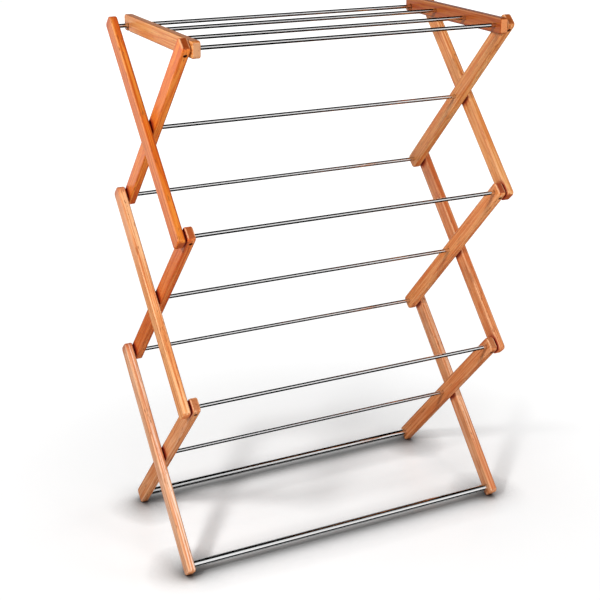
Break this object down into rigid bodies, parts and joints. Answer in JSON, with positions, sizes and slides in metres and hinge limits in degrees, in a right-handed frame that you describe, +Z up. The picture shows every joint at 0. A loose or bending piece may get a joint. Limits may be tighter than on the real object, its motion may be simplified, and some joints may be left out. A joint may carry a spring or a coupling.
{
  "type": "clothes drying rack",
  "caption": "Free-standing folding clothes drying rack: wooden scissor ends joined by polished steel tubes, with a hinged top shelf that hooks over the back tube.",
  "frame": {"origin": "on the floor, in the middle of the four feet", "axes": "+X along the tubes to the right end, +Y from the front to the back, +Z up"},
  "size_m": [0.728, 0.3532, 1.0532],
  "materials": {
    "slat_wood": "clear lacquered beech, satin",
    "arm_wood": "clear lacquered beech, satin",
    "polished_tube": "polished steel",
    "brad_steel": "dull steel",
    "spacer_nylon": "dark brown, matt"
  },
  "bodies": {
    "foot_rod": {"foot_front_rod": "polished_tube"},
    "bottom_outer_frame": {"bottom_outer_slat_left": "slat_wood", "bottom_outer_slat_right": "slat_wood", "bottom_cross_rod": "polished_tube", "bottom_cross_rod_brads": "brad_steel", "bottom_cross_spacers": "spacer_nylon", "lower_back_rod": "polished_tube", "lower_back_rod_brads": "brad_steel", "lower_back_spacers": "spacer_nylon"},
    "bottom_inner_frame": {"bottom_inner_slat_left": "slat_wood", "bottom_inner_slat_right": "slat_wood", "lower_front_rod": "polished_tube", "lower_front_rod_brads": "brad_steel", "lower_front_spacers": "spacer_nylon", "foot_back_rod": "polished_tube"},
    "middle_outer_frame": {"middle_outer_slat_left": "slat_wood", "middle_outer_slat_right": "slat_wood", "middle_cross_rod": "polished_tube", "middle_cross_rod_brads": "brad_steel", "middle_cross_spacers": "spacer_nylon", "upper_back_rod": "polished_tube", "upper_back_rod_brads": "brad_steel", "upper_back_spacers": "spacer_nylon"},
    "middle_inner_frame": {"middle_inner_slat_left": "slat_wood", "middle_inner_slat_right": "slat_wood", "upper_front_rod": "polished_tube", "upper_front_rod_brads": "brad_steel", "upper_front_spacers": "spacer_nylon"},
    "top_outer_frame": {"top_outer_slat_left": "slat_wood", "top_outer_slat_right": "slat_wood", "top_cross_rod": "polished_tube", "top_cross_rod_brads": "brad_steel", "top_cross_spacers": "spacer_nylon", "top_back_rod": "polished_tube", "top_back_rod_brads": "brad_steel"},
    "top_inner_frame": {"top_inner_slat_left": "slat_wood", "top_inner_slat_right": "slat_wood", "top_front_rod": "polished_tube", "top_front_rod_brads": "brad_steel", "shelf_hinge_spacers": "spacer_nylon"},
    "shelf": {"shelf_arm_left": "arm_wood", "shelf_arm_right": "arm_wood", "shelf_front_rod": "polished_tube", "shelf_front_rod_brads": "brad_steel", "shelf_back_rod": "polished_tube", "shelf_back_rod_brads": "brad_steel"}
  },
  "joints": [
    {"name": "fold", "type": "hinge", "parent": "foot_rod", "child": "bottom_outer_frame", "pos_m": [0, -0.156, 0.0195], "axis": [-1, 0, 0], "range_deg": [0, 43]},
    {"name": "bottom_scissor", "type": "hinge", "parent": "bottom_outer_frame", "child": "bottom_inner_frame", "pos_m": [0, 0, 0.1885], "axis": [1, 0, 0], "range_deg": [0, 86]},
    {"name": "lower_front_pivot", "type": "hinge", "parent": "bottom_inner_frame", "child": "middle_outer_frame", "pos_m": [0, -0.156, 0.3575], "axis": [-1, 0, 0], "range_deg": [0, 86]},
    {"name": "middle_scissor", "type": "hinge", "parent": "middle_outer_frame", "child": "middle_inner_frame", "pos_m": [0, 0, 0.5265], "axis": [1, 0, 0], "range_deg": [0, 86]},
    {"name": "upper_front_pivot", "type": "hinge", "parent": "middle_inner_frame", "child": "top_outer_frame", "pos_m": [0, -0.156, 0.6955], "axis": [-1, 0, 0], "range_deg": [0, 86]},
    {"name": "top_scissor", "type": "hinge", "parent": "top_outer_frame", "child": "top_inner_frame", "pos_m": [0, 0, 0.8645], "axis": [1, 0, 0], "range_deg": [0, 86]},
    {"name": "shelf_lift", "type": "hinge", "parent": "top_inner_frame", "child": "shelf", "pos_m": [0, -0.156, 1.0335], "axis": [1, 0, 0], "range_deg": [0, 150]}
  ],
  "couplings": [
    {"joint": "bottom_scissor", "follows": "fold", "ratio": 2},
    {"joint": "lower_front_pivot", "follows": "fold", "ratio": 2},
    {"joint": "middle_scissor", "follows": "fold", "ratio": 2},
    {"joint": "upper_front_pivot", "follows": "fold", "ratio": 2},
    {"joint": "top_scissor", "follows": "fold", "ratio": 2}
  ]
}
